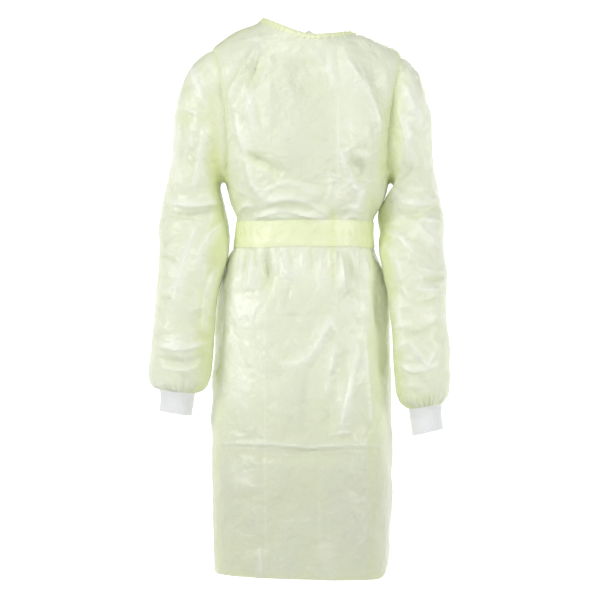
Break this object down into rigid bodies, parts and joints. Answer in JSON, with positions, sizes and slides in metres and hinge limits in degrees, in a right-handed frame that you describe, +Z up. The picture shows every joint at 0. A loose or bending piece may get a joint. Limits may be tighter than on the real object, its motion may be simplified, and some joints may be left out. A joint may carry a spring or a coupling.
{
  "type": "isolation gown",
  "caption": "Knee-length isolation gown in pale yellow coated cloth, worn and hollow, with long sleeves, white rib-knit cuffs, a bound round neck and a tied waist belt.",
  "frame": {"origin": "middle of the neckline's sides, where the wearer's shoulders hold the gown up", "axes": "+Z up, the gown's front faces -Y, +X to the wearer's left"},
  "size_m": [0.6172, 0.2724, 1.1572],
  "materials": {
    "cloth": "thin coated nonwoven, soft sheen",
    "doubled_cloth": "coated nonwoven folded double, soft sheen",
    "knit": "matt rib knit"
  },
  "bodies": {
    "root": {"front_panel": "cloth", "back_panel_left": "cloth", "back_panel_right": "cloth", "sleeve_left": "cloth", "sleeve_right": "cloth", "cuff_left": "knit", "cuff_right": "knit", "neck_binding": "doubled_cloth", "neck_tie_knot": "doubled_cloth", "neck_tie_left": "doubled_cloth", "neck_tie_right": "doubled_cloth", "waist_belt": "doubled_cloth", "belt_knot": "doubled_cloth", "belt_tail_left": "doubled_cloth", "belt_tail_right": "doubled_cloth"}
  },
  "joints": []
}
